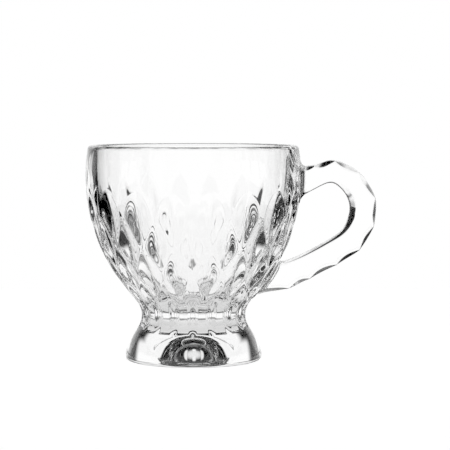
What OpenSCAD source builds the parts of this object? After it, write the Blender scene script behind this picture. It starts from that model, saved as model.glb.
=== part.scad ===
// Glass tea cup: a thick-walled bowl with rows of olive cuts, a flared foot and a strap handle.
// Millimetres, +Z up, handle towards +X.
// The origin is on the bowl's axis, in the plane that the foot stands on.

/* [Bowl] */
// Height of the rim above the table
cup_h = 75; // [64:0.5:92]
// Outside diameter at the rim
rim_d = 73.6; // [61:0.2:89]
// Thickness of the rounded lip
lip_t = 2.7; // [2.2:0.1:3.3]
// How far the side leans out below the lip
side_lean = 1.1; // [0.5:0.1:2]
// How far the side keeps the lip's direction
side_pull = 7.5; // [4:0.1:11]
// Radius of the hip, where the bowl turns into the waist
hip_r = 22.3; // [19:0.1:24]
// Height of the hip above the weld at the waist
hip_rise = 7.8; // [6.5:0.1:9.4]
// Angle of the bowl's side at the hip, from the axis
hip_angle = 41.4; // [34:0.1:48]
// How far the belly keeps the hip's direction
belly_pull = 27.1; // [22:0.1:31]
// How far the throat keeps the hip's and the waist's directions
throat_pull = 3.4; // [2.8:0.1:4]

/* [Cavity] */
// Thickness of the glass between the weld and the cavity's floor
floor_t = 2.4; // [2:0.1:4]
// Radius of the cavity's floor
floor_r = 9.5; // [7:0.1:12]
// Rise of the floor from its centre to its edge
floor_dish = 1.2; // [0.4:0.1:2]
// How far the cavity's side leans in below the lip
cavity_lean = 0.3; // [0.2:0.1:1]
// How far the cavity's side keeps the lip's direction
cavity_pull = 20; // [16:0.1:22]
// Radius that the cavity's belly is drawn towards
cavity_belly_r = 34; // [28:0.1:35]
// Height above the hip that the cavity's belly is drawn towards
cavity_belly_rise = 12; // [10:0.1:16]

/* [Waist and foot] */
// Radius of the waist, where bowl and foot are welded
waist_r = 18.1; // [15:0.1:20]
// Height of the foot, from the table to the weld
foot_h = 15.7; // [13:0.1:18.9]
// Radius of the foot at its widest
foot_r = 23.8; // [21:0.1:28]
// Radius of the rounded edge under the foot
foot_edge_r = 1.4; // [1.1:0.1:2]
// How far the foot's flare keeps straight down below the weld
flare_pull = 4.7; // [3.5:0.1:5.7]
// How far the foot's flare keeps straight up above its edge
flare_low_pull = 5.5; // [4.5:0.1:6.6]
// Radius of the hollow under the foot
punt_r = 10.6; // [8.8:0.1:12.8]
// Depth of the hollow under the foot
punt_depth = 4.5; // [3.7:0.1:5.4]

/* [Olive cuts] */
// Number of cuts around the bowl in every row
cuts = 18; // [16:1:20]
// Depth of a cut's keel below the straight line between its tips
keel_depth = 1.2; // [1:0.05:1.45]
// Depth of a cut's hollow floor below the same line
floor_depth = 0.7; // [0.6:0.05:0.85]
// Radius of the hollow floor, from side to side
floor_rim_r = 8; // [6.7:0.1:9.6]
// Height of the upper row's middle above the hip
upper_rise = 27.4; // [23:0.1:33]
// Length of an upper cut from tip to tip
upper_l = 18.3; // [15.3:0.1:22]
// Width of an upper cut
upper_w = 8; // [6.7:0.1:9.6]
// Height of the middle row's middle above the hip
middle_rise = 18.9; // [15.8:0.1:22.7]
// Length of a middle cut from tip to tip
middle_l = 17.4; // [14.5:0.1:20.9]
// Width of a middle cut
middle_w = 6.4; // [5.3:0.1:7.7]
// Height of the lower row's middle above the hip
lower_rise = 9.2; // [7.7:0.1:11]
// Length of a lower cut from tip to tip
lower_l = 17.2; // [14.3:0.1:20.7]
// Width of a lower cut
lower_w = 6.2; // [5.2:0.1:7.4]
// Height of the hip row's middle above the hip
hip_cut_rise = 1.2; // [1:0.1:1.5]
// Length of a hip cut from tip to tip
hip_cut_l = 12.8; // [10.7:0.1:15.4]
// Width of a hip cut
hip_cut_w = 4.6; // [3.8:0.1:5.5]

/* [Waist flutes] */
// Radius of a flute's round bottom
flute_r = 2.2; // [1.8:0.1:2.7]
// Depth of a flute at the waist
flute_depth = 0.7; // [0.5:0.05:0.9]
// Radius of the hollow curve that a flute follows down the waist
flute_sweep_r = 6.5; // [5.8:0.1:7.4]
// Angle of that curve from a flute's upper end to its lower one
flute_arc = 144; // [120:1:150]
// Height of a flute's middle above the weld
flute_rise = 0.5; // [0:0.1:1]

/* [Handle] */
// Distance from the rim down to the top of the upper root
root_top_drop = 7.3; // [6:0.1:8.8]
// Distance from the rim down to the underside of the upper root
root_under_drop = 19.1; // [16:0.1:22.5]
// Height of the lower root's upper corner above the hip
root_low_rise = 10.3; // [8.6:0.1:12.4]
// Distance from the hip down to the lower root's bottom corner
root_low_drop = 0.9; // [0.7:0.1:1.1]
// How far the roots run into the bowl's wall
root_depth = 1.6; // [1.3:0.1:2]
// Distance from the rim's edge out to the middle of the finger loop
loop_out = 9.1; // [7.6:0.1:11]
// Distance from the rim down to the middle of the finger loop
loop_drop = 21.6; // [18:0.1:25]
// Radius of the finger loop
loop_r = 8.4; // [7:0.1:10.1]
// Thickness of the strap around the loop
strap_t = 8.6; // [7.2:0.1:10.4]
// Width of the strap
strap_w = 9.4; // [7.8:0.1:11.3]
// Extra width of the strap at its roots
root_flare = 1.6; // [0.5:0.1:2.4]
// Thickness of the strap on its way down to the lower root
tail_t = 8.8; // [7.4:0.1:10.6]
// Angle at which the tail leaves the loop, from level
tail_top_lean = 37; // [31:1:44]
// Angle at which the tail comes to the lower root, from level
tail_root_lean = 16; // [13:1:19]
// How far the tail keeps these two directions
tail_pull = 7.8; // [6.5:0.1:9.4]
// Radius of the strap's inner edges
inner_edge_r = 1.8; // [1:0.1:2.4]
// Width of the leaf-shaped facets at their middle, on the strap's outer face
facet_w = 2.4; // [2:0.1:2.9]
// Width that the facets take of the strap's side faces, as a share of the same
facet_slant = 0.6; // [0.5:0.05:0.75]
// Width left of the facets at the points between them
facet_end_w = 0.7; // [0.5:0.1:0.9]

/* [Hidden] */
$fn = 96;
glass = [0.86, 0.91, 0.92, 0.55];

rim_r = rim_d / 2;
lip_r = lip_t / 2;
lip_z = cup_h - lip_r;
weld_z = foot_h;
floor_z = weld_z + floor_t;
hip_z = weld_z + hip_rise;
root_low_top_z = hip_z + root_low_rise;
root_low_end_z = hip_z - root_low_drop;

// Point on a cubic curve with four control points
function curve(p, t) = pow(1 - t, 3) * p[0] + 3 * pow(1 - t, 2) * t * p[1]
  + 3 * (1 - t) * t * t * p[2] + pow(t, 3) * p[3];

// Points on a cubic curve, without its first one
function curve_points(p, n) = [for (i = [1:n]) curve(p, i / n)];

hip = [hip_r, hip_z];
waist = [waist_r, weld_z];
hip_dir = [sin(hip_angle), cos(hip_angle)];
side = [
  [rim_r, lip_z],
  [rim_r + side_lean, lip_z - side_pull],
  hip + belly_pull * hip_dir,
  hip
];
throat = [hip, hip - throat_pull * hip_dir, waist + [0, throat_pull], waist];
cavity = [
  [rim_r - lip_t, lip_z],
  [rim_r - lip_t - cavity_lean, lip_z - cavity_pull],
  [cavity_belly_r, hip_z + cavity_belly_rise],
  [floor_r, floor_z + floor_dish]
];
flare = [
  waist,
  waist - [0, flare_pull],
  [foot_r, foot_edge_r + flare_low_pull],
  [foot_r, foot_edge_r]
];

bowl_outside = concat([side[0]], curve_points(side, 16), curve_points(throat, 6));
foot_outside = concat([waist], curve_points(flare, 9));
cavity_side = concat([cavity[0]], curve_points(cavity, 12));
lip = [for (a = [22.5:22.5:157.5]) [rim_r - lip_r, lip_z] + lip_r * [cos(a), sin(a)]];
foot_edge = [for (a = [22.5:22.5:90])
  [foot_r - foot_edge_r, foot_edge_r] + foot_edge_r * [cos(a), -sin(a)]];

// Radius of the outside of the bowl at a height
radius_at_height = [for (p = bowl_outside) [p[1], p[0]]];
function bowl_r(z) = lookup(z, radius_at_height);

// Length of a cut's wheel, as a share of the length between the tips
past_tips = 1.2;

// One olive cut, opening outwards along +X, with its tips on the Z axis.
// Two large balls meet in the keel from tip to tip, and a wheel with a rounded rim hollows the floor.
// bulge is how far the bowl's side stands out beyond the line between the tips.
module olive(l, w, bulge, r) {
  keel_r = (l * l / 4 + keel_depth * keel_depth) / (2 * keel_depth);
  out = keel_r - keel_depth;
  edge = bulge - w * w / (8 * r);
  apart = (keel_r * keel_r - pow(out - edge, 2) - w * w / 4) / w;
  ball_r = sqrt(keel_r * keel_r + apart * apart);
  wheel_r = (l * l / 4 + floor_depth * floor_depth) / (2 * floor_depth);
  reach = asin(past_tips * l / 2 / wheel_r);
  intersection() {
    translate([out, -apart, 0]) sphere(r = ball_r);
    translate([out, apart, 0]) sphere(r = ball_r);
    translate([wheel_r - floor_depth, 0, 0])
      rotate([90, 0, 0]) rotate([0, 0, 180 - reach]) rotate_extrude(angle = 2 * reach)
        translate([wheel_r - floor_rim_r, 0]) circle(r = floor_rim_r);
  }
}

// A ring of olive cuts, laid along the side of the bowl and turned by a share of one step
module olive_row(which, z, l, w, turn) {
  lean = atan2(bowl_r(z + 1) - bowl_r(z - 1), 2);
  rise = l / 2 * cos(lean);
  top = [bowl_r(z + rise), z + rise];
  bottom = [bowl_r(z - rise), z - rise];
  middle = (top + bottom) / 2;
  tilt = atan2(top[0] - bottom[0], top[1] - bottom[1]);
  bulge = (bowl_r(middle[1]) - middle[0]) * cos(tilt);
  for (i = which)
    rotate([0, 0, (i + turn) * 360 / cuts])
      translate([middle[0], 0, middle[1]])
        rotate([0, tilt, 0]) olive(norm(top - bottom), w, bulge, middle[0]);
}

// A ring of round-bottomed flutes that follow the hollow of the waist and run out at both ends
module waist_flutes() {
  for (i = [0:cuts - 1])
    rotate([0, 0, (i + 0.5) * 360 / cuts])
      translate([waist_r + flute_sweep_r, 0, weld_z + flute_rise])
        rotate([90, 0, 0]) rotate([0, 0, 180 - flute_arc / 2]) rotate_extrude(angle = flute_arc)
          translate([flute_sweep_r + flute_depth - flute_r, 0]) circle(r = flute_r);
}

// The bowl's solid with the olive cuts of the given steps
module cut_bowl(which) {
  difference() {
    rotate_extrude() polygon(concat(
      bowl_outside,
      [[0, weld_z], [0, floor_z]],
      [for (i = [len(cavity_side) - 1:-1:0]) cavity_side[i]],
      [for (i = [len(lip) - 1:-1:0]) lip[i]]
    ));
    olive_row(which, hip_z + upper_rise, upper_l, upper_w, 0);
    olive_row(which, hip_z + middle_rise, middle_l, middle_w, 0.5);
    olive_row(which, hip_z + lower_rise, lower_l, lower_w, 0);
    olive_row(which, hip_z + hip_cut_rise, hip_cut_l, hip_cut_w, 0.5);
  }
}

// Bowl, solid down to the weld at the waist
module bowl() {
  color(glass) difference() {
    cut_bowl([0:cuts - 1]);
    waist_flutes();
  }
}

// Foot with its flare, rounded edge and hollow underside
module foot() {
  punt_ball_r = (punt_r * punt_r + punt_depth * punt_depth) / (2 * punt_depth);
  color(glass) difference() {
    rotate_extrude() polygon(concat(foot_outside, foot_edge, [[0, 0], [0, weld_z]]));
    translate([0, 0, punt_depth - punt_ball_r]) sphere(r = punt_ball_r);
    waist_flutes();
  }
}

loop = [rim_r + loop_out, cup_h - loop_drop];
function around(r, a) = loop + r * [cos(a), sin(a)];
function on_wall(z, deeper) = [bowl_r(z) - deeper, z];

// Where the facets meet around the loop: angle of the inner point and its distance outside the loop's circle,
// then the same for the outer point and the strap's outer circle
loop_meets = [
  [127, -0.9, 105, -1.8],
  [79, 0.3, 79, -0.3],
  [46, 0, 46, 0],
  [12, 0, 11, 0.8],
  [-22, 0.3, -21, 1.2],
  [-56, 1.7, -51, 2.1]
];
function on_loop(m) = [around(loop_r + m[1], m[0]), around(loop_r + strap_t + m[3], m[2])];
loop_end = on_loop(loop_meets[len(loop_meets) - 1]);

// Where the facets meet along the tail: share of its length, and extra thickness
tail_meets = [[0.31, 0], [0.68, 0], [0.97, 0.6]];
tail_start = loop_end[0];
tail_end = on_wall(root_low_top_z, 0);
tail_curve = [
  tail_start,
  tail_start - tail_pull * [cos(tail_top_lean), sin(tail_top_lean)],
  tail_end + tail_pull * [cos(tail_root_lean), sin(tail_root_lean)],
  tail_end
];
function tail_side(s) = let (way = curve(tail_curve, s + 0.01) - curve(tail_curve, s - 0.01))
  [-way[1], way[0]] / norm(way);
function on_tail(m) = let (inner = curve(tail_curve, m[0]))
  [inner, inner + (tail_t + m[1]) * tail_side(m[0])];

// Inner and outer points of the strap, from the upper root to the lower one
upper_root = [on_wall(cup_h - root_under_drop, root_depth), on_wall(cup_h - root_top_drop, root_depth)];
lower_root = [on_wall(root_low_top_z, root_depth), on_wall(root_low_end_z, root_depth)];
stations = concat(
  [upper_root],
  [for (m = loop_meets) on_loop(m)],
  [for (m = tail_meets) on_tail(m)],
  [lower_root]
);
last = len(stations) - 1;

// Smooth curve through the stations, at a place between station i and the next
function station(i) = stations[min(max(i, 0), last)];
function between(a, b, c, d, t) =
  b + t / 2 * (c - a + t * (2 * a - 5 * b + 4 * c - d + t * (3 * (b - c) + d - a)));
function strap_at(i, t) = [for (k = [0, 1])
  between(station(i - 1)[k], station(i)[k], station(i + 1)[k], station(i + 2)[k], t)];

// Depth of the hollow in a facet, where a half is a flat facet
scoop = 0.6;

// Cross-section of the strap: rounded inner edges, scooped facets on the outer ones
function section(edges, half_w, facet) = let (
    u = edges[1] - edges[0],
    t = norm(u),
    n = u / t,
    r = inner_edge_r,
    round = r * (1 - cos(45)),
    low = facet_slant * facet,
    half = [
      [0, 0], [0, half_w - r], [round, half_w - round], [r, half_w],
      [t - low, half_w], [t - scoop * low, half_w - scoop * facet], [t, half_w - facet]
    ],
    ring = concat(half, [[t, 0]], [for (i = [len(half) - 1:-1:1]) [half[i][0], -half[i][1]]])
  ) [for (p = ring) [edges[0][0] + p[0] * n[0], p[1], edges[0][1] + p[0] * n[1]]];

// Rings of the sweep in each facet, and how many facets the widening at a root takes
steps = 6;
flare_reach = 1.5;
rings = [for (i = [0:last - 1], j = [0:(i == last - 1 ? steps : steps - 1)]) let (
    t = j / steps,
    s = i + t,
    near_root = max(0, 1 - s / flare_reach, 1 - (last - s) / flare_reach)
  ) section(strap_at(i, t), strap_w / 2 + root_flare / 2 * pow(near_root, 2),
    facet_end_w + (facet_w - facet_end_w) * sin(180 * t))];
sides = len(rings[0]);

// Strap handle, swept from the upper root round the finger loop to the lower root.
// The bowl beside it is taken away, so that each root lies on the bowl's side and fills its cuts.
module handle() {
  color(glass) difference() {
    polyhedron(
      points = [for (ring = rings, p = ring) p],
      faces = concat(
        [[for (k = [0:sides - 1]) k]],
        [for (i = [0:len(rings) - 2], k = [0:sides - 1])
          let (a = i * sides + k, b = i * sides + (k + 1) % sides)
          each [[a, a + sides, b], [b, a + sides, b + sides]]],
        [[for (k = [sides - 1:-1:0]) (len(rings) - 1) * sides + k]]
      )
    );
    cut_bowl([-2:2]);
  }
}

bowl();
foot();
handle();
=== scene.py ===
"""Looks of a clear glass tea cup: a bowl with olive cuts, a flared foot and a strap handle."""

import logging
import math
from collections.abc import Callable
from dataclasses import dataclass, field
from enum import Enum, IntEnum

import bmesh
import bpy
import numpy as np
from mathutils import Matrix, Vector


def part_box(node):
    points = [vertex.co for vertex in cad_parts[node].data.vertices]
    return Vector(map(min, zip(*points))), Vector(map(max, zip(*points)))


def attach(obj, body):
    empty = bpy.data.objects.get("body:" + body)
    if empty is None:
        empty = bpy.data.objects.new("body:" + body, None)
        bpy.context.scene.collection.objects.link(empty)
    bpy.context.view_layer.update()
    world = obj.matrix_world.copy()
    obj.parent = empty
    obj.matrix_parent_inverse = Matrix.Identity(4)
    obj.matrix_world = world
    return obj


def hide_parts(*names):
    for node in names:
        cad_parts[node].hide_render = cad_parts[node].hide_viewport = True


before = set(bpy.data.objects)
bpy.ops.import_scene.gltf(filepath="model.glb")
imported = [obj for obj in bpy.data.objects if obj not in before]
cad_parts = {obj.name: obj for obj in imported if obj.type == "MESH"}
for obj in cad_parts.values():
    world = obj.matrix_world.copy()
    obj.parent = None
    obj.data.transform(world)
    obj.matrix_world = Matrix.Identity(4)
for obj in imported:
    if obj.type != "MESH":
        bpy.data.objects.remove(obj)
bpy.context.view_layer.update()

MM = 0.001
CURVE_POINTS = 401
WHITE = "#FFFFFF"
LOG = logging.getLogger("tea_cup")

# Settings of the nodes that combine two brightnesses
TIMES = {"operation": "MULTIPLY"}
PLUS = {"operation": "ADD"}
BRIGHTER = {"operation": "MAXIMUM"}


class Face(IntEnum):
    """Material index of a face, by what the face is."""

    GLASS = 0
    WELD = 1
    OTHER_PIECE = 2


class Fitting(Enum):
    """What one solid does to another, under Blender's name for it."""

    TRIM = "DIFFERENCE"
    JOIN = "UNION"


def linear(hex_colour: str) -> tuple[float, float, float, float]:
    """Turn an sRGB hex colour into linear RGBA.

    Args:
        hex_colour: Six hex digits, with or without a leading mark.

    Returns:
        Linear red, green, blue and an alpha of 1.
    """
    digits = hex_colour.lstrip("#")
    parts = [int(digits[i:i + 2], 16) / 255 for i in (0, 2, 4)]
    even = [c / 12.92 if c <= 0.04045 else ((c + 0.055) / 1.055) ** 2.4 for c in parts]
    return (*even, 1.0)


def add_node(tree: bpy.types.NodeTree, kind: str, settings: dict | None = None,
             inputs: dict | None = None) -> bpy.types.Node:
    """Add a node with its settings, and fill or link its inputs.

    Args:
        tree: Node tree that takes the node.
        kind: Blender's name for the node type.
        settings: Node properties by name.
        inputs: Input values by socket name or index; an output socket becomes a link.

    Returns:
        The new node.
    """
    node = tree.nodes.new(kind)
    for key, value in (settings or {}).items():
        setattr(node, key, value)
    for key, value in (inputs or {}).items():
        if isinstance(value, bpy.types.NodeSocket):
            tree.links.new(value, node.inputs[key])
        else:
            node.inputs[key].default_value = value
    return node


def sine(angle: float) -> float:
    """Sine of an angle in degrees."""
    return math.sin(math.radians(angle))


def cubic(points: np.ndarray, t: np.ndarray) -> np.ndarray:
    """Points on a cubic curve.

    Args:
        points: Four control points.
        t: Places along the curve, from 0 to 1.

    Returns:
        One point for each place.
    """
    t = np.asarray(t, float)[:, None]
    s = 1 - t
    return s ** 3 * points[0] + 3 * s ** 2 * t * points[1] + 3 * s * t * t * points[2] + t ** 3 * points[3]


def soft_min(a: np.ndarray, b: np.ndarray, width: float) -> np.ndarray:
    """Lower of two heights, rounded where they cross.

    Args:
        a: First height.
        b: Second height.
        width: Height difference over which the edge is rounded.

    Returns:
        The blended height.
    """
    h = np.clip(0.5 + 0.5 * (b - a) / width, 0, 1)
    return b + (a - b) * h - width * h * (1 - h)


def soft_max(a: np.ndarray, b: np.ndarray, width: float) -> np.ndarray:
    """Higher of two heights, rounded where they cross, as soft_min does it."""
    return -soft_min(-a, -b, width)


def resample(line: np.ndarray, step: float) -> np.ndarray:
    """Spread points evenly along a line.

    Args:
        line: Points of the line.
        step: Wanted distance between points.

    Returns:
        Points from the first to the last, about one step apart.
    """
    along = np.concatenate([[0], np.cumsum(np.linalg.norm(np.diff(line, axis=0), axis=1))])
    count = max(1, math.ceil(along[-1] / step))
    places = np.linspace(0, along[-1], count + 1)
    return np.stack([np.interp(places, along, line[:, k]) for k in range(line.shape[1])], axis=1)


def arc(centre: tuple[float, float], radius: float, start: float, end: float, count: int) -> np.ndarray:
    """Points on a circular arc.

    Args:
        centre: Centre of the arc.
        radius: Radius of the arc.
        start: First angle in degrees.
        end: Last angle in degrees.
        count: Number of steps.

    Returns:
        One point more than there are steps.
    """
    a = np.radians(np.linspace(start, end, count + 1))
    return np.array(centre) + radius * np.stack([np.cos(a), np.sin(a)], axis=1)


def make_mesh(name: str, points: np.ndarray, faces: list, kinds: np.ndarray) -> bpy.types.Mesh:
    """Make a smooth-shaded mesh.

    Args:
        name: Name of the mesh.
        points: Points in metres.
        faces: Point numbers of each face.
        kinds: Material index of each face.

    Returns:
        The mesh.
    """
    mesh = bpy.data.meshes.new(name)
    mesh.from_pydata(points.tolist(), [], faces)
    mesh.polygons.foreach_set("material_index", np.asarray(kinds, np.int32))
    mesh.polygons.foreach_set("use_smooth", np.ones(len(faces), bool))
    mesh.update()
    return mesh


def place(name: str, mesh: bpy.types.Mesh) -> bpy.types.Object:
    """Put a mesh into the scene, at its origin.

    Args:
        name: Name of the piece.
        mesh: Its mesh.

    Returns:
        The piece.
    """
    piece = bpy.data.objects.new(name, mesh)
    bpy.context.scene.collection.objects.link(piece)
    return piece


@dataclass
class CupOutline:
    """Outline that bowl, foot and handle share. Millimetres, as radius and height, and degrees."""

    cup_h: float
    foot_h: float
    rim_d: float = 73.6
    lip_t: float = 2.7
    side_lean: float = 1.08
    side_pull: float = 7.5
    hip_r: float = 22.3
    hip_rise: float = 7.8
    hip_angle: float = 41.4
    belly_pull: float = 27.1
    waist_r: float = 18.1
    throat_pull: float = 3.4

    @property
    def rim_r(self) -> float:
        """Outside radius at the rim."""
        return self.rim_d / 2

    @property
    def lip_z(self) -> float:
        """Height at which the lip's rounding starts."""
        return self.cup_h - self.lip_t / 2

    @property
    def hip(self) -> np.ndarray:
        """Point where the bowl's side turns into the waist."""
        return np.array([self.hip_r, self.foot_h + self.hip_rise])

    @property
    def hip_way(self) -> np.ndarray:
        """Direction of the bowl's side at the hip, upwards."""
        lean = math.radians(self.hip_angle)
        return np.array([math.sin(lean), math.cos(lean)])

    def side(self) -> np.ndarray:
        """Find the curve of the bowl's side.

        Returns:
            Its control points, from the lip down to the hip.
        """
        return np.array([
            [self.rim_r, self.lip_z],
            [self.rim_r + self.side_lean, self.lip_z - self.side_pull],
            self.hip + self.belly_pull * self.hip_way,
            self.hip,
        ])

    def throat(self) -> np.ndarray:
        """Find the hollow curve of the waist.

        Returns:
            Its control points, from the hip down to the weld.
        """
        waist = np.array([self.waist_r, self.foot_h])
        return np.array([
            self.hip,
            self.hip - self.throat_pull * self.hip_way,
            waist + [0, self.throat_pull],
            waist,
        ])

    def outside(self) -> np.ndarray:
        """Closely spaced points of the bowl's outside, from the weld up to the lip."""
        t = np.linspace(1, 0, CURVE_POINTS)
        return np.concatenate([cubic(self.throat(), t), cubic(self.side(), t)[1:]])

    def radius_at(self, z: np.ndarray) -> np.ndarray:
        """Outside radius of the bowl, before it is cut, at a height."""
        line = self.outside()
        return np.interp(z, line[:, 1], line[:, 0])


@dataclass(frozen=True)
class OliveRow:
    """Ring of olive cuts with pointed tips and a hollow floor. Millimetres; turn is in cuts."""

    rise: float
    length: float
    width: float
    turn: float
    cuts: int = 18
    keel_depth: float = 1.22
    floor_depth: float = 0.81
    rim_r: float = 8.5
    edge_round: float = 0.84
    floor_round: float = 0.81

    def carve(self, points: np.ndarray, outline: CupOutline) -> np.ndarray:
        """Push points that lie under a cut down to its surface.

        Args:
            points: Points on the outside of the bowl.
            outline: The cup's outline, which the tips lie on.

        Returns:
            The points after cutting.
        """
        # Two large balls give a cut its outline, and a wheel with a rounded rim gives it its floor
        z = outline.hip[1] + self.rise
        lean = math.atan2(float(outline.radius_at(z + 1) - outline.radius_at(z - 1)), 2)
        reach = self.length / 2 * math.cos(lean)
        top = np.array([float(outline.radius_at(z + reach)), z + reach])
        bottom = np.array([float(outline.radius_at(z - reach)), z - reach])
        middle = (top + bottom) / 2
        tilt = math.atan2(top[0] - bottom[0], top[1] - bottom[1])
        bulge = (float(outline.radius_at(middle[1])) - middle[0]) * math.cos(tilt)
        length = float(np.linalg.norm(top - bottom))
        keel_r = (length ** 2 / 4 + self.keel_depth ** 2) / (2 * self.keel_depth)
        out = keel_r - self.keel_depth
        edge = bulge - self.width ** 2 / (8 * middle[0])
        apart = (keel_r ** 2 - (out - edge) ** 2 - self.width ** 2 / 4) / self.width
        ball_r = math.hypot(keel_r, apart)
        wheel_r = (length ** 2 / 4 + self.floor_depth ** 2) / (2 * self.floor_depth)

        # Each point is seen from the middle of its nearest cut, out of the bowl and along the cut
        pitch = 2 * math.pi / self.cuts
        angle = np.arctan2(points[:, 1], points[:, 0])
        step = np.round(angle / pitch - self.turn) + self.turn
        off = angle - step * pitch
        radius = np.hypot(points[:, 0], points[:, 1])
        across = radius * np.sin(off)
        reach_x = radius * np.cos(off) - middle[0]
        reach_z = points[:, 2] - middle[1]
        x = reach_x * math.cos(tilt) - reach_z * math.sin(tilt)
        along = reach_x * math.sin(tilt) + reach_z * math.cos(tilt)

        left = out - np.sqrt(np.maximum(ball_r ** 2 - (across - apart) ** 2 - along ** 2, 0))
        right = out - np.sqrt(np.maximum(ball_r ** 2 - (across + apart) ** 2 - along ** 2, 0))
        rim = np.sqrt(np.maximum(self.rim_r ** 2 - across ** 2, 0))
        under = (wheel_r - self.rim_r + rim) ** 2 - along ** 2
        wheel = wheel_r - self.floor_depth - np.sqrt(np.maximum(under, 0))
        floor = soft_max(np.maximum(left, right), wheel, self.floor_round)
        near = (np.abs(across) < self.rim_r) & (np.abs(along) < length)
        cut_x = np.where(near, soft_min(x, floor, self.edge_round), x)

        new_x = middle[0] + cut_x * math.cos(tilt) + along * math.sin(tilt)
        new_z = middle[1] - cut_x * math.sin(tilt) + along * math.cos(tilt)
        turn = step * pitch
        return np.stack([
            new_x * np.cos(turn) - across * np.sin(turn),
            new_x * np.sin(turn) + across * np.cos(turn),
            new_z,
        ], axis=1)


@dataclass(frozen=True)
class WaistFlutes:
    """Ring of round-bottomed flutes that follow the hollow of the waist. Millimetres; turn is in flutes."""

    cuts: int = 18
    turn: float = 0.5
    radius: float = 2.2
    depth: float = 0.8
    sweep_r: float = 6.35
    rise: float = 0.5
    edge_round: float = 0.47
    clear: float = 1.0

    def carve(self, points: np.ndarray, outline: CupOutline) -> np.ndarray:
        """Push points that lie under a flute in towards the axis.

        Args:
            points: Points on the outside of the bowl or the foot.
            outline: The cup's outline.

        Returns:
            The points after cutting, at the same heights.
        """
        pitch = 2 * math.pi / self.cuts
        angle = np.arctan2(points[:, 1], points[:, 0])
        turn = (np.round(angle / pitch - self.turn) + self.turn) * pitch
        radius = np.hypot(points[:, 0], points[:, 1])
        across = radius * np.sin(angle - turn)
        x = radius * np.cos(angle - turn)
        centre_x = outline.waist_r + self.sweep_r
        height = points[:, 2] - outline.foot_h - self.rise
        bend_r = self.sweep_r + self.depth - self.radius
        reach = bend_r + np.sqrt(np.maximum(self.radius ** 2 - across ** 2, 0))
        floor = centre_x - np.sqrt(np.maximum(reach ** 2 - height ** 2, 0))
        inside = (np.abs(across) < self.radius) & (np.abs(height) < reach)
        # Beside a flute, its floor is put clear of the surface
        floor = np.where(inside, floor, x + self.clear)
        x = soft_min(x, floor, self.edge_round)
        return np.stack([
            x * np.cos(turn) - across * np.sin(turn),
            x * np.sin(turn) + across * np.cos(turn),
            points[:, 2],
        ], axis=1)


@dataclass
class Lathe:
    """Surface turned about the axis from rings of points, closed at both ends."""

    columns: int
    rings: list[np.ndarray] = field(default_factory=list)
    kinds: list[Face] = field(default_factory=list)

    def add(self, line: np.ndarray, kind: Face) -> np.ndarray:
        """Turn a line of radius and height into rings and add them.

        Args:
            line: Points as radius and height.
            kind: What the faces that lead to these rings are.

        Returns:
            The new points, ring by ring, for carving in place.
        """
        angle = np.linspace(0, 2 * math.pi, self.columns, endpoint=False)
        block = np.empty((len(line), self.columns, 3))
        block[:, :, 0] = line[:, :1] * np.cos(angle)
        block[:, :, 1] = line[:, :1] * np.sin(angle)
        block[:, :, 2] = line[:, 1:]
        self.rings.append(block)
        self.kinds += [kind] * len(line)
        return block

    def mesh(self, name: str, first_z: float, last_z: float, first_kind: Face,
             last_kind: Face) -> bpy.types.Mesh:
        """Make the mesh, with a fan of triangles at each end.

        Args:
            name: Name of the mesh.
            first_z: Height of the middle of the fan before the first ring.
            last_z: Height of the middle of the fan after the last ring.
            first_kind: What the faces of the first fan are.
            last_kind: What the faces of the last fan are.

        Returns:
            The mesh in metres.
        """
        rings = np.concatenate(self.rings)
        count = len(rings)
        points = np.concatenate([rings.reshape(-1, 3), [[0, 0, first_z], [0, 0, last_z]]])
        column = np.arange(self.columns)
        after = (column + 1) % self.columns
        row = np.arange(count - 1)[:, None] * self.columns
        next_row = row + self.columns
        quads = np.stack([row + column, row + after, next_row + after, next_row + column], axis=-1)
        first_middle = np.full_like(column, count * self.columns)
        last_row = (count - 1) * self.columns
        first_fan = np.stack([after, column, first_middle], axis=-1)
        last_fan = np.stack([last_row + column, last_row + after, first_middle + 1], axis=-1)
        kinds = np.concatenate([
            np.repeat([int(k) for k in self.kinds[1:]], self.columns),
            np.full(self.columns, int(first_kind)),
            np.full(self.columns, int(last_kind)),
        ])
        faces = quads.reshape(-1, 4).tolist() + first_fan.tolist() + last_fan.tolist()
        return make_mesh(name, points * MM, faces, kinds)


@dataclass(frozen=True)
class PressedGlass:
    """Colourless soda-lime glass, pressed in a mould and fire-polished."""

    name: str = "pressed_soda_lime_glass"
    tint: str = WHITE
    ior: float = 1.52
    roughness: float = 0.0
    wave_mm: float = 9.0
    wave_depth_mm: float = 0.004
    wave_detail: float = 1.0
    wave_unevenness: float = 0.4

    def material(self) -> bpy.types.Material:
        """Make the material.

        Returns:
            The material.
        """
        # Fire polishing leaves a skin without grain, so the eye sees only refraction and clean
        # reflections, bent a little by a slow waviness that the cooling glass keeps.
        material = bpy.data.materials.new(self.name)
        material.use_nodes = True
        tree = material.node_tree
        tree.nodes.clear()
        spot = add_node(tree, "ShaderNodeTexCoord")
        wave = add_node(tree, "ShaderNodeTexNoise", {"noise_dimensions": "3D"}, {
            "Vector": spot.outputs["Object"],
            "Scale": 1 / (self.wave_mm * MM),
            "Detail": self.wave_detail,
            "Roughness": self.wave_unevenness,
        })
        bump = add_node(tree, "ShaderNodeBump", None, {
            "Height": wave.outputs[0],
            "Strength": 1.0,
            "Distance": self.wave_depth_mm * MM,
        })
        glass = add_node(tree, "ShaderNodeBsdfPrincipled", None, {
            "Base Color": linear(self.tint),
            "Roughness": self.roughness,
            "IOR": self.ior,
            "Transmission Weight": 1.0,
            "Normal": bump.outputs["Normal"],
        })
        add_node(tree, "ShaderNodeOutputMaterial", None, {"Surface": glass.outputs[0]})
        return material


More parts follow.
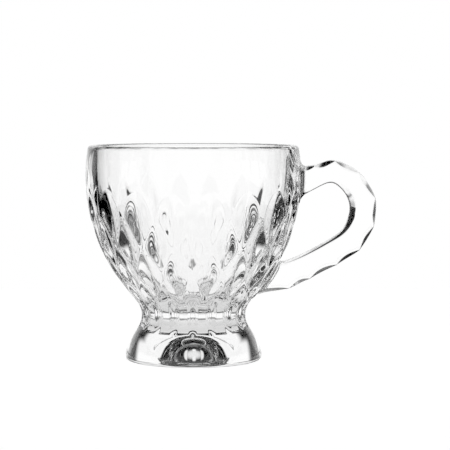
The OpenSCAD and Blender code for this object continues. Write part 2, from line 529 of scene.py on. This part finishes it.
@dataclass(frozen=True)
class HotWeld:
    """Place where two gathers of glass have run together."""

    name: str = "hot_glass_weld"
    tint: str = WHITE

    def material(self) -> bpy.types.Material:
        """Make the material.

        Returns:
            The material.
        """
        # No boundary is left in fused glass, so light passes straight on and the eye sees nothing.
        material = bpy.data.materials.new(self.name)
        material.use_nodes = True
        tree = material.node_tree
        tree.nodes.clear()
        clear = add_node(tree, "ShaderNodeBsdfTransparent", None, {"Color": linear(self.tint)})
        add_node(tree, "ShaderNodeOutputMaterial", None, {"Surface": clear.outputs[0]})
        return material


@dataclass
class Bowl:
    """The bowl: outside with its cuts, rounded lip, cavity and the flat weld at the waist. Millimetres."""

    outline: CupOutline
    rows: list[OliveRow]
    flutes: WaistFlutes
    floor_t: float = 2.4
    floor_r: float = 9.5
    floor_dish: float = 0.5
    cavity_lean: float = 0.3
    cavity_pull: float = 19.1
    cavity_belly_r: float = 31.7
    cavity_belly_rise: float = 12.0
    # Fineness of the mesh, which is coarser above the cuts
    plain_z: float = 62.5
    columns: int = 640
    cut_step: float = 0.3
    plain_step: float = 0.7
    cavity_step: float = 1.0
    lip_steps: int = 16
    floor_steps: int = 8

    @property
    def floor_z(self) -> float:
        """Height of the cavity's floor at its centre."""
        return self.outline.foot_h + self.floor_t

    def cavity(self) -> np.ndarray:
        """Find the curve of the cavity's side.

        Returns:
            Closely spaced points, from the lip down to the edge of the floor.
        """
        shape = self.outline
        inner_r = shape.rim_r - shape.lip_t
        points = np.array([
            [inner_r, shape.lip_z],
            [inner_r - self.cavity_lean, shape.lip_z - self.cavity_pull],
            [self.cavity_belly_r, shape.hip[1] + self.cavity_belly_rise],
            [self.floor_r, self.floor_z + self.floor_dish],
        ])
        return cubic(points, np.linspace(0, 1, CURVE_POINTS))

    def build(self) -> bpy.types.Object:
        """Make the bowl.

        Returns:
            The bowl as a closed solid.
        """
        shape = self.outline
        outside = shape.outside()
        cut = resample(outside[outside[:, 1] <= self.plain_z], self.cut_step)
        plain = resample(outside[outside[:, 1] >= self.plain_z], self.plain_step)
        lip_r = shape.lip_t / 2
        lip = arc((shape.rim_r - lip_r, shape.lip_z), lip_r, 0, 180, self.lip_steps)
        cavity = resample(self.cavity(), self.cavity_step)
        floor_x = np.linspace(self.floor_r, 0, self.floor_steps + 1)[1:-1]
        floor = np.stack([floor_x, self.floor_z + self.floor_dish * (floor_x / self.floor_r) ** 2], axis=1)
        lathe = Lathe(self.columns)
        carved = lathe.add(cut, Face.GLASS)
        points = carved.reshape(-1, 3)
        for row in self.rows:
            points = row.carve(points, shape)
        points = self.flutes.carve(points, shape)
        carved[:] = points.reshape(carved.shape)
        for line in (plain, lip[1:], cavity[1:], floor):
            lathe.add(line, Face.GLASS)
        mesh = lathe.mesh("bowl_glass", shape.foot_h, self.floor_z, Face.WELD, Face.GLASS)
        return place("bowl_glass", mesh)


@dataclass
class Foot:
    """The foot: flare with the lower ends of the flutes, rounded edge and hollow underside. Millimetres."""

    outline: CupOutline
    flutes: WaistFlutes
    foot_r: float = 23.8
    edge_r: float = 1.4
    flare_pull: float = 4.7
    flare_low_pull: float = 5.5
    punt_r: float = 9.6
    punt_depth: float = 5.5
    punt_power: float = 2.2
    # Fineness of the mesh, and the inset of the two rings that keep the underside flat
    columns: int = 640
    flare_step: float = 0.35
    edge_steps: int = 14
    punt_steps: int = 39
    ring_inset: float = 1.2

    def build(self) -> bpy.types.Object:
        """Make the foot.

        Returns:
            The foot as a closed solid.
        """
        shape = self.outline
        waist = np.array([shape.waist_r, shape.foot_h])
        flare = cubic(np.array([
            waist,
            waist - [0, self.flare_pull],
            [self.foot_r, self.edge_r + self.flare_low_pull],
            [self.foot_r, self.edge_r],
        ]), np.linspace(0, 1, CURVE_POINTS))
        edge_centre = (self.foot_r - self.edge_r, self.edge_r)
        edge = arc(edge_centre, self.edge_r, 0, -90, self.edge_steps)
        ring = np.array([[edge_centre[0] - self.ring_inset, 0], [self.punt_r + self.ring_inset, 0]])
        punt_x = np.linspace(self.punt_r, 0, self.punt_steps + 1)[:-1]
        punt_z = self.punt_depth * (1 - (punt_x / self.punt_r) ** self.punt_power)
        lathe = Lathe(self.columns)
        carved = lathe.add(resample(flare, self.flare_step), Face.GLASS)
        carved[:] = self.flutes.carve(carved.reshape(-1, 3), shape).reshape(carved.shape)
        for line in (edge[1:], ring, np.stack([punt_x, punt_z], axis=1)):
            lathe.add(line, Face.GLASS)
        mesh = lathe.mesh("foot_glass", shape.foot_h, self.punt_depth, Face.WELD, Face.GLASS)
        mesh.flip_normals()
        return place("foot_glass", mesh)


@dataclass(frozen=True)
class LoopStation:
    """Place round the finger loop where two facets meet. Extra radius in millimetres, and degrees."""

    inner_extra: float
    inner_angle: float
    outer_extra: float
    outer_angle: float


@dataclass(frozen=True)
class TailStation:
    """Place on the handle's tail where two facets meet. Share of its length, and extra millimetres."""

    share: float
    extra: float


@dataclass
class Handle:
    """The strap handle: a sweep with leaf-shaped facets on its outer edges. Millimetres and degrees."""

    outline: CupOutline
    root_top_drop: float = 7.3
    root_under_drop: float = 19.1
    root_low_rise: float = 10.3
    root_low_drop: float = 0.9
    root_depth: float = 1.6
    root_fillet: float = 2.0
    loop_out: float = 9.1
    loop_drop: float = 21.6
    loop_r: float = 8.4
    strap_t: float = 8.6
    strap_w: float = 9.4
    tail_t: float = 8.8
    tail_top_lean: float = 37.0
    tail_root_lean: float = 16.0
    tail_pull: float = 7.8
    loop_stations: tuple[LoopStation, ...] = (
        LoopStation(-0.9, 127.0, -1.8, 105.0),
        LoopStation(0.3, 79.0, -0.3, 79.0),
        LoopStation(0.0, 46.0, 0.0, 46.0),
        LoopStation(0.0, 12.0, 0.8, 11.0),
        LoopStation(0.3, -22.0, 1.2, -21.0),
        LoopStation(1.7, -56.0, 2.1, -51.0),
    )
    tail_stations: tuple[TailStation, ...] = (
        TailStation(0.31, 0.0), TailStation(0.68, 0.0), TailStation(0.97, 0.6))
    # Facets on the outer edges, which are widest half-way between two stations
    facet_w: float = 4.2
    facet_slant: float = 0.41
    facet_end_w: float = 0.9
    # Inner edges, with a wide bevel round one place, counted in stations
    inner_edge: float = 0.8
    grip_at: float = 4.1
    grip_span: float = 1.3
    grip_w: float = 4.0
    grip_slant: float = 0.55
    # Fineness of the mesh, and how sharp the edges between its flat sides are
    span_rings: int = 30
    sides: int = 96
    crispness: float = 26.0

    def stations(self) -> np.ndarray:
        """Inner and outer points of the strap where the facets on its edges meet.

        Returns:
            One pair of points for each station, as distance from the axis and height.
        """
        shape = self.outline
        loop = np.array([shape.rim_r + self.loop_out, shape.cup_h - self.loop_drop])

        def around(radius: float, angle: float) -> np.ndarray:
            """Point round the middle of the finger loop."""
            a = math.radians(angle)
            return loop + radius * np.array([math.cos(a), math.sin(a)])

        def on_wall(z: float, deeper: float) -> np.ndarray:
            """Point on the bowl's side, or deeper in it."""
            return np.array([float(shape.radius_at(z)) - deeper, z])

        outer_r = self.loop_r + self.strap_t
        loop_pairs = [[around(self.loop_r + at.inner_extra, at.inner_angle),
                       around(outer_r + at.outer_extra, at.outer_angle)] for at in self.loop_stations]
        low_top = shape.hip[1] + self.root_low_rise
        low_end = shape.hip[1] - self.root_low_drop
        leans = np.radians([self.tail_top_lean, self.tail_root_lean])
        ways = self.tail_pull * np.stack([np.cos(leans), np.sin(leans)], axis=1)
        tail_start = loop_pairs[-1][0]
        tail_end = on_wall(low_top, 0)
        tail = np.array([tail_start, tail_start - ways[0], tail_end + ways[1], tail_end])

        def on_tail(at: TailStation, nudge: float = 0.01) -> list[np.ndarray]:
            """Find a station on the tail.

            Args:
                at: The station.
                nudge: Share of the tail's length over which its direction is taken, to each side.

            Returns:
                Its inner and outer point.
            """
            near = cubic(tail, np.array([at.share - nudge, at.share, at.share + nudge]))
            way = (near[2] - near[0]) / np.linalg.norm(near[2] - near[0])
            return [near[1], near[1] + (self.tail_t + at.extra) * np.array([-way[1], way[0]])]

        upper_root = [on_wall(shape.cup_h - drop, self.root_depth)
                      for drop in (self.root_under_drop, self.root_top_drop)]
        lower_root = [on_wall(z, self.root_depth) for z in (low_top, low_end)]
        tail_pairs = [on_tail(at) for at in self.tail_stations]
        return np.array([upper_root, *loop_pairs, *tail_pairs, lower_root])

    def rings(self) -> np.ndarray:
        """Cross-sections along the strap.

        Returns:
            Points in millimetres, by ring and side.
        """
        knots = self.stations()
        last = len(knots) - 1
        turn = np.linspace(0, 2 * math.pi, self.sides, endpoint=False)
        out, across = np.cos(turn), np.sin(turn)
        half_w = self.strap_w / 2
        blocks = []
        for place_along in np.linspace(0, last, last * self.span_rings + 1):
            # A smooth curve runs through the stations
            i = min(int(place_along), last - 1)
            t = place_along - i
            a, b, c, d = (knots[min(max(k, 0), last)] for k in (i - 1, i, i + 1, i + 2))
            pair = b + 0.5 * t * (c - a + t * (2 * a - 5 * b + 4 * c - d + t * (3 * (b - c) + d - a)))
            middle = pair.mean(axis=0)
            reach = pair[1] - pair[0]
            half_t = np.linalg.norm(reach) / 2
            normal = reach / (2 * half_t)
            facet = self.facet_end_w + (self.facet_w - self.facet_end_w) * (1 - (2 * t - 1) ** 2)
            corner = half_t + self.facet_slant * (half_w - facet)
            grip = math.exp(-((place_along - self.grip_at) / self.grip_span) ** 2)
            bevel = self.inner_edge + (self.grip_w - self.inner_edge) * grip
            bevel_slant = 1 + (self.grip_slant - 1) * grip
            inner = half_t + bevel_slant * (half_w - bevel)
            bevelled = bevel_slant * across
            slanted = self.facet_slant * across
            planes = np.stack([
                out / half_t, -out / half_t, across / half_w, -across / half_w,
                (out + slanted) / corner, (out - slanted) / corner,
                (bevelled - out) / inner, (-bevelled - out) / inner,
            ])
            size = (np.maximum(planes, 0) ** self.crispness).sum(axis=0) ** (-1 / self.crispness)
            ring = np.stack([
                middle[0] + size * out * normal[0],
                size * across,
                middle[1] + size * out * normal[1],
            ], axis=1)
            blocks.append(self.spread_root(ring, np.array([middle[0], 0, middle[1]])))
        return np.array(blocks)

    def spread_root(self, ring: np.ndarray, middle: np.ndarray) -> np.ndarray:
        """Widen a cross-section near the bowl, so that the root flows into the wall.

        Args:
            ring: Points of the cross-section.
            middle: Its middle.

        Returns:
            The widened points.
        """
        shape = self.outline
        z = ring[:, 2]
        slope = shape.radius_at(z + 0.5) - shape.radius_at(z - 0.5)
        away = (np.hypot(ring[:, 0], ring[:, 1]) - shape.radius_at(z)) / np.sqrt(1 + slope ** 2)
        left = self.root_fillet - np.clip(away, 0, self.root_fillet)
        spread = self.root_fillet - np.sqrt(np.maximum(self.root_fillet ** 2 - left ** 2, 0))
        outward = ring - middle
        outward /= np.linalg.norm(outward, axis=1, keepdims=True)
        return ring + outward * spread[:, None]

    def build(self) -> bpy.types.Object:
        """Make the strap with its ends inside the bowl's wall.

        Returns:
            The strap as a closed solid.
        """
        rings = self.rings()
        count = len(rings)
        column = np.arange(self.sides)
        after = (column + 1) % self.sides
        row = np.arange(count - 1)[:, None] * self.sides
        next_row = row + self.sides
        quads = np.stack([row + column, next_row + column, next_row + after, row + after], axis=-1)
        last_row = (count - 1) * self.sides
        faces = quads.reshape(-1, 4).tolist() + [column.tolist(), (last_row + column[::-1]).tolist()]
        kinds = np.full(len(faces), int(Face.GLASS))
        return place("handle_glass", make_mesh("handle_glass", rings.reshape(-1, 3) * MM, faces, kinds))


@dataclass
class RootWeld:
    """Joint between the handle's roots and the bowl, cut so that both pieces share the same faces."""

    merge_mm: float = 0.0005

    def combine(self, target: bpy.types.Object, other: bpy.types.Object,
                fitting: Fitting) -> bmesh.types.BMesh:
        """Cut or join two solids, with the other one's faces marked.

        Args:
            target: Solid that is cut or joined.
            other: Solid that cuts or joins it.
            fitting: Which of the two is done.

        Returns:
            The result, in which faces of the other solid have their own material index.
        """
        tool = other.copy()
        tool.data = other.data.copy()
        bpy.context.scene.collection.objects.link(tool)
        marks = np.full(len(tool.data.polygons), int(Face.OTHER_PIECE), np.int32)
        tool.data.polygons.foreach_set("material_index", marks)
        for piece in (target, tool):
            while len(piece.data.materials) < len(Face):
                piece.data.materials.append(None)
        modifier = target.modifiers.new("weld", "BOOLEAN")
        modifier.operation = fitting.value
        modifier.solver = "MANIFOLD"
        modifier.material_mode = "INDEX"
        modifier.object = tool
        graph = bpy.context.evaluated_depsgraph_get()
        result = bmesh.new()
        result.from_mesh(target.evaluated_get(graph).to_mesh())
        target.modifiers.remove(modifier)
        data = tool.data
        bpy.data.objects.remove(tool)
        bpy.data.meshes.remove(data)
        return result

    def fit(self, bowl: bpy.types.Object, handle: bpy.types.Object) -> None:
        """Trim the handle to the bowl and mark the shared faces on both.

        Args:
            bowl: The bowl's solid.
            handle: The strap's solid, with its ends inside the bowl's wall.
        """
        trimmed = self.combine(handle, bowl, Fitting.TRIM)
        joined = self.combine(bowl, handle, Fitting.JOIN)
        bowl_faces = bmesh.new()
        self.copy_faces(joined, bowl_faces, lambda face: face.material_index != Face.OTHER_PIECE, False)
        self.copy_faces(trimmed, bowl_faces, lambda face: face.material_index == Face.OTHER_PIECE, True)
        for shape in (trimmed, bowl_faces):
            for face in shape.faces:
                if face.material_index == Face.OTHER_PIECE:
                    face.material_index = Face.WELD
                face.smooth = True
            bmesh.ops.remove_doubles(shape, verts=shape.verts, dist=self.merge_mm * MM)
        trimmed.to_mesh(handle.data)
        bowl_faces.to_mesh(bowl.data)
        for shape in (trimmed, joined, bowl_faces):
            shape.free()

    def copy_faces(self, source: bmesh.types.BMesh, target: bmesh.types.BMesh,
                   wanted: Callable[[bmesh.types.BMFace], bool], turned: bool) -> None:
        """Copy some faces of one shape into another.

        Args:
            source: Shape to copy from.
            target: Shape to copy into.
            wanted: Test that a face has to pass.
            turned: Whether the copies face the other way.
        """
        made: dict[int, bmesh.types.BMVert] = {}
        for face in source.faces:
            if not wanted(face):
                continue
            corners = []
            for vert in face.verts:
                if vert.index not in made:
                    made[vert.index] = target.verts.new(vert.co)
                corners.append(made[vert.index])
            copy = target.faces.new(reversed(corners) if turned else corners)
            copy.material_index = face.material_index


@dataclass
class TeaCup:
    """The whole cup: bowl, foot and handle, dressed in glass and joined by clear welds."""

    outline: CupOutline
    rows: list[OliveRow] = field(default_factory=lambda: [
        OliveRow(rise=27.4, length=18.3, width=8.4, turn=0.0),
        OliveRow(rise=18.9, length=17.4, width=6.7, turn=0.5),
        OliveRow(rise=9.2, length=17.2, width=6.5, turn=0.0),
        OliveRow(rise=1.2, length=12.8, width=4.8, turn=0.5),
    ])
    flutes: WaistFlutes = field(default_factory=WaistFlutes)
    glass: PressedGlass = field(default_factory=PressedGlass)
    weld: HotWeld = field(default_factory=HotWeld)

    def build(self) -> None:
        """Make the three pieces, dress them and hang them on the frame."""
        bowl = Bowl(self.outline, self.rows, self.flutes).build()
        foot = Foot(self.outline, self.flutes).build()
        handle = Handle(self.outline).build()
        RootWeld().fit(bowl, handle)
        glass, weld = self.glass.material(), self.weld.material()
        for node, piece in {"bowl": bowl, "foot": foot, "handle": handle}.items():
            self.dress(piece, glass, weld)
            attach(piece, "root")
            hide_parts(node)
            LOG.info("%s: %d faces", piece.name, len(piece.data.polygons))

    def dress(self, piece: bpy.types.Object, glass: bpy.types.Material, weld: bpy.types.Material) -> None:
        """Give a piece its materials and keep the rim of each weld crisp.

        Args:
            piece: The piece.
            glass: Material of its outside.
            weld: Material of the faces it shares with another piece.
        """
        mesh = piece.data
        kinds = np.empty(len(mesh.polygons), np.int32)
        mesh.polygons.foreach_get("material_index", kinds)
        mesh.materials.clear()
        mesh.materials.append(glass)
        mesh.materials.append(weld)
        mesh.polygons.foreach_set("material_index", kinds)
        shape = bmesh.new()
        shape.from_mesh(mesh)
        open_edges = 0
        for edge in shape.edges:
            edge.smooth = len({face.material_index for face in edge.link_faces}) == 1
            open_edges += len(edge.link_faces) != 2
        shape.to_mesh(mesh)
        shape.free()
        if open_edges:
            LOG.warning("%s has %d open edges", piece.name, open_edges)


@dataclass
class Studio:
    """Pale floor with painted light and shade in the glass, white screens behind and in front, dark gaps
    between them and a lamp overhead.

    Angles are in degrees, sideways from straight behind or straight in front, or above the horizon.
    Levels are shares of white, and distances on the floor are in metres from the cup's axis.
    """

    # High screens, which reach down below the horizon
    screen_to: float = 32.2
    front_to: float = 23.6
    screen_fade: float = 8.5
    screen_top: float = 24.2
    screen_top_fade: float = 8.0
    # Low screens, which reach further round; the one behind ends at the horizon
    low_to: float = 40.5
    front_low_to: float = 104.3
    low_top: float = 11.2
    low_from: float = -1.8
    low_from_fade: float = 2.0
    # Lamp overhead
    lamp_from: float = 72.8
    lamp_fade: float = 6.0
    lamp_level: float = 0.26
    # Floor, which in the glass shows painted light: glowing white strips behind and in front and a glowing
    # white pool round the cup
    floor_size: float = 0.5
    floor_gap: float = 0.0002
    floor_colour: str = "#F4F4F4"
    camera_lift: float = 0.9
    floor_to: float = 30.5
    front_floor_to: float = 58.5
    painted_pool_to: float = 0.062
    painted_pool_fade: float = 0.03
    # Painted shade: a dark spot and a half shade under the foot, and a painted soft shadow behind the cup
    painted_shade_spot_to: float = 0.009
    painted_shade_spot_fade: float = 0.004
    painted_half_shade_level: float = 0.7
    painted_half_shade_from: float = 0.02
    painted_half_shade_to: float = 0.06
    # Painted shadow on the floor behind the cup
    painted_shadow_behind: float = 0.072
    painted_shadow_level: float = 0.28
    painted_shadow_from: float = 0.012
    painted_shadow_to: float = 0.035
    # How often light may bounce, and how many welds it may cross
    bounces: int = 10
    welds_crossed: int = 12

    def edge(self, tree: bpy.types.NodeTree, value: bpy.types.NodeSocket, dark: float, bright: float,
             level: float = 1.0) -> bpy.types.NodeSocket:
        """Soft edge of a lit area.

        Args:
            tree: Node tree that takes the node.
            value: What is compared.
            dark: Value at which the light ends.
            bright: Value at which the light is full.
            level: Brightness of the lit area.

        Returns:
            The brightness.
        """
        node = add_node(tree, "ShaderNodeMapRange", {"interpolation_type": "SMOOTHSTEP"}, {
            "Value": value, "From Min": dark, "From Max": bright, "To Min": 0.0, "To Max": level})
        return node.outputs[0]

    def screen_sides(self, tree: bpy.types.NodeTree, direction: bpy.types.NodeSocket, to: float,
                     front_to: float) -> bpy.types.NodeSocket:
        """Brightness of the screens by compass direction, behind the cup and in front of it.

        Args:
            tree: Node tree that takes the nodes.
            direction: Direction or place, of which only the level part counts.
            to: Angle to each side at which the screen behind the cup starts to fade.
            front_to: The same for the screen in front of it.

        Returns:
            The brightness.
        """
        parts = add_node(tree, "ShaderNodeSeparateXYZ", None, {0: direction})
        flat = add_node(tree, "ShaderNodeCombineXYZ", None, {
            "X": parts.outputs["X"], "Y": parts.outputs["Y"]})
        unit = add_node(tree, "ShaderNodeVectorMath", {"operation": "NORMALIZE"}, {0: flat.outputs[0]})
        unit_parts = add_node(tree, "ShaderNodeSeparateXYZ", None, {0: unit.outputs[0]})
        facing = unit_parts.outputs["Y"]
        behind = self.edge(tree, facing, sine(90 - to - self.screen_fade), sine(90 - to))
        front = self.edge(tree, facing, -sine(90 - front_to - self.screen_fade), -sine(90 - front_to))
        return add_node(tree, "ShaderNodeMath", BRIGHTER, {0: behind, 1: front}).outputs[0]

    def floor_light(self, tree: bpy.types.NodeTree) -> bpy.types.NodeSocket:
        """Painted brightness of the floor as it shows in the glass: painted light in strips and round the
        cup, dimmed by painted shade and a painted shadow.

        Args:
            tree: Node tree of the floor's material.

        Returns:
            The painted brightness.
        """
        spot = add_node(tree, "ShaderNodeTexCoord").outputs["Object"]
        away = add_node(tree, "ShaderNodeVectorMath", {"operation": "LENGTH"}, {0: spot}).outputs["Value"]
        # Painted light: the floor glows white in strips behind and in front of the cup
        sides = self.screen_sides(tree, spot, self.floor_to, self.front_floor_to)
        # Painted light: a white pool on the floor round the cup
        painted_pool = self.edge(tree, away, self.painted_pool_to + self.painted_pool_fade, self.painted_pool_to)
        white = add_node(tree, "ShaderNodeMath", BRIGHTER, {0: sides, 1: painted_pool})
        # Painted shade: dark under the hollow of the foot, and half dark on the floor near the cup
        under = self.edge(tree, away, self.painted_shade_spot_to, self.painted_shade_spot_to + self.painted_shade_spot_fade)
        painted_half_shade_rise = self.edge(tree, away, self.painted_half_shade_from, self.painted_half_shade_to, 1 - self.painted_half_shade_level)
        half = add_node(tree, "ShaderNodeMath", PLUS, {0: painted_half_shade_rise, 1: self.painted_half_shade_level})
        # Painted shadow: a soft dark patch on the floor behind the cup
        painted_shadow_away = add_node(tree, "ShaderNodeVectorMath", {"operation": "DISTANCE"}, {
            0: spot, 1: (0.0, self.painted_shadow_behind, 0.0)})
        painted_shadow_rise = self.edge(tree, painted_shadow_away.outputs["Value"], self.painted_shadow_from, self.painted_shadow_to,
                              1 - self.painted_shadow_level)
        painted_shadow = add_node(tree, "ShaderNodeMath", PLUS, {0: painted_shadow_rise, 1: self.painted_shadow_level})
        # The painted light is dimmed by the painted shade and the painted shadow
        dark = add_node(tree, "ShaderNodeMath", TIMES, {0: painted_shadow.outputs[0], 1: under})
        shaded = add_node(tree, "ShaderNodeMath", TIMES, {0: half.outputs[0], 1: dark.outputs[0]})
        return add_node(tree, "ShaderNodeMath", TIMES, {0: white.outputs[0], 1: shaded.outputs[0]}).outputs[0]

    def floor(self) -> None:
        """Lay the floor, which shows white to the camera and keeps the real shadow there, and through the
        glass shows painted light and painted shade.
        """
        half = self.floor_size / 2
        mesh = bpy.data.meshes.new("studio_floor")
        corners = [(-half, -half), (half, -half), (half, half), (-half, half)]
        mesh.from_pydata([(x, y, -self.floor_gap) for x, y in corners], [], [(0, 1, 2, 3)])
        # Matt paint on board gives the camera an even white without a gleam and keeps the real shadow;
        # through the glass the floor shows painted light, white strips and a white pool round the cup, and
        # painted shade.
        material = bpy.data.materials.new("matt_white_sweep_with_painted_light")
        material.use_nodes = True
        tree = material.node_tree
        tree.nodes.clear()
        path = add_node(tree, "ShaderNodeLightPath")
        in_glass = add_node(tree, "ShaderNodeMath", BRIGHTER, {
            0: path.outputs["Is Glossy Ray"], 1: path.outputs["Is Transmission Ray"]})
        straight = add_node(tree, "ShaderNodeMath", TIMES, {
            0: path.outputs["Is Camera Ray"], 1: self.camera_lift})
        paint = add_node(tree, "ShaderNodeBsdfDiffuse", None, {"Color": linear(self.floor_colour)})
        lift = add_node(tree, "ShaderNodeEmission", None, {"Strength": straight.outputs[0]})
        lifted = add_node(tree, "ShaderNodeAddShader", None, {0: paint.outputs[0], 1: lift.outputs[0]})
        # Through the glass the floor shows only this painted light and painted shade
        glow = add_node(tree, "ShaderNodeEmission", None, {"Strength": self.floor_light(tree)})
        both = add_node(tree, "ShaderNodeMixShader", None, {
            0: in_glass.outputs[0], 1: lifted.outputs[0], 2: glow.outputs[0]})
        add_node(tree, "ShaderNodeOutputMaterial", None, {"Surface": both.outputs[0]})
        mesh.materials.append(material)
        place("studio_floor", mesh)

    def screens(self, tree: bpy.types.NodeTree) -> bpy.types.NodeSocket:
        """Brightness of the screens and the lamp by direction.

        Args:
            tree: Node tree of the world.

        Returns:
            The brightness.
        """
        way = add_node(tree, "ShaderNodeTexCoord").outputs["Generated"]
        height = add_node(tree, "ShaderNodeSeparateXYZ", None, {0: way}).outputs["Z"]
        sides = self.screen_sides(tree, way, self.screen_to, self.front_to)
        top = self.edge(tree, height, sine(self.screen_top + self.screen_top_fade), sine(self.screen_top))
        high = add_node(tree, "ShaderNodeMath", TIMES, {0: sides, 1: top})
        low_sides = self.screen_sides(tree, way, self.low_to, self.front_low_to)
        low_top = self.edge(tree, height, sine(self.low_top + self.screen_top_fade), sine(self.low_top))
        low_from = self.edge(tree, height, sine(self.low_from - self.low_from_fade), sine(self.low_from))
        front_only = self.screen_sides(tree, way, 0.0, self.front_low_to)
        low_edge = add_node(tree, "ShaderNodeMath", BRIGHTER, {0: low_from, 1: front_only})
        low_band = add_node(tree, "ShaderNodeMath", TIMES, {0: low_top, 1: low_edge.outputs[0]})
        low = add_node(tree, "ShaderNodeMath", TIMES, {0: low_sides, 1: low_band.outputs[0]})
        both = add_node(tree, "ShaderNodeMath", BRIGHTER, {0: high.outputs[0], 1: low.outputs[0]})
        lamp = self.edge(tree, height, sine(self.lamp_from), sine(self.lamp_from + self.lamp_fade),
                         self.lamp_level)
        return add_node(tree, "ShaderNodeMath", BRIGHTER, {0: both.outputs[0], 1: lamp}).outputs[0]

    def surround(self) -> None:
        """Light the scene from the screens and the lamp, with dark gaps that draw the glass."""
        world = bpy.data.worlds.new("white_studio")
        world.use_nodes = True
        tree = world.node_tree
        tree.nodes.clear()
        white = linear(WHITE)
        studio = add_node(tree, "ShaderNodeBackground", None, {
            "Color": white, "Strength": self.screens(tree)})
        backdrop = add_node(tree, "ShaderNodeBackground", None, {"Color": white, "Strength": 1.0})
        path = add_node(tree, "ShaderNodeLightPath")
        mix = add_node(tree, "ShaderNodeMixShader", None, {
            0: path.outputs["Is Camera Ray"], 1: studio.outputs[0], 2: backdrop.outputs[0]})
        add_node(tree, "ShaderNodeOutputWorld", None, {"Surface": mix.outputs[0]})
        bpy.context.scene.world = world

    def build(self) -> None:
        """Set up floor and surround, and let light pass through many walls of glass."""
        self.floor()
        self.surround()
        scene = bpy.context.scene
        scene.view_settings.view_transform = "Standard"
        scene.cycles.max_bounces = self.bounces
        scene.cycles.transmission_bounces = self.bounces
        scene.cycles.glossy_bounces = self.bounces
        scene.cycles.transparent_max_bounces = self.welds_crossed


@dataclass(frozen=True)
class PhotoCamera:
    """Camera with the photograph's angle. Millimetres."""

    side: float = 11.0
    distance: float = 634.0
    height: float = 87.7
    aim_z: float = 47.1
    lens: float = 145.5
    sensor: float = 36.0
    nearest: float = 10.0

    def build(self) -> None:
        """Place the camera and aim it level with the middle of the cup."""
        camera = bpy.data.cameras.new("photo_camera")
        camera.lens = self.lens
        camera.sensor_width = self.sensor
        camera.clip_start = self.nearest * MM
        holder = bpy.data.objects.new("photo_camera", camera)
        holder.location = Vector((self.side, -self.distance, self.height)) * MM
        aim = Vector((self.side, 0, self.aim_z)) * MM - holder.location
        holder.rotation_euler = aim.to_track_quat("-Z", "Y").to_euler()
        bpy.context.scene.collection.objects.link(holder)
        bpy.context.scene.camera = holder


def main() -> None:
    """Build the camera, the studio and the cup."""
    logging.basicConfig(level=logging.INFO, format="%(name)s %(message)s")
    PhotoCamera().build()
    Studio().build()
    cup_h, foot_h = (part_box(node)[1][2] / MM for node in ("bowl", "foot"))
    TeaCup(CupOutline(cup_h=cup_h, foot_h=foot_h)).build()


if __name__ == "__main__":
    main()
